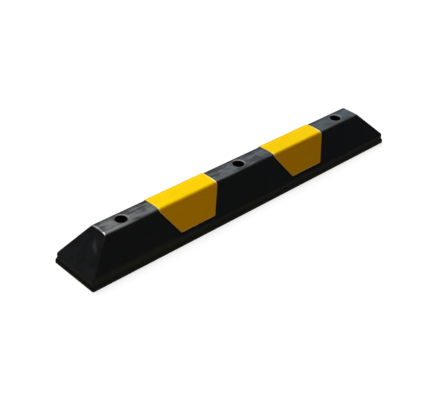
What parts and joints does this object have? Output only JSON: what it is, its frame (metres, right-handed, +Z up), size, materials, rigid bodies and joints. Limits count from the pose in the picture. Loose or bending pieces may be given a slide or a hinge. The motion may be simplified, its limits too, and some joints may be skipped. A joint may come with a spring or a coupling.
{
  "type": "rubber wheel stop",
  "caption": "Low moulded rubber bar with sloped sides and ends, yellow marking panels over its top, and counterbored holes for bolting it to the ground as a wheel stop.",
  "frame": {"origin": "middle of the underside, on the ground", "axes": "+X along the length, +Y across it, +Z up from the ground"},
  "size_m": [1.05, 0.15, 0.102],
  "materials": {
    "black_rubber": "satin moulded",
    "yellow_rubber": "smooth satin",
    "washer_steel": "zinc plated"
  },
  "bodies": {
    "root": {"rubber_body": "black_rubber", "yellow_panel_left": "yellow_rubber", "yellow_panel_right": "yellow_rubber", "fixing_washer_left": "washer_steel", "fixing_washer_middle": "washer_steel", "fixing_washer_right": "washer_steel"}
  },
  "joints": []
}
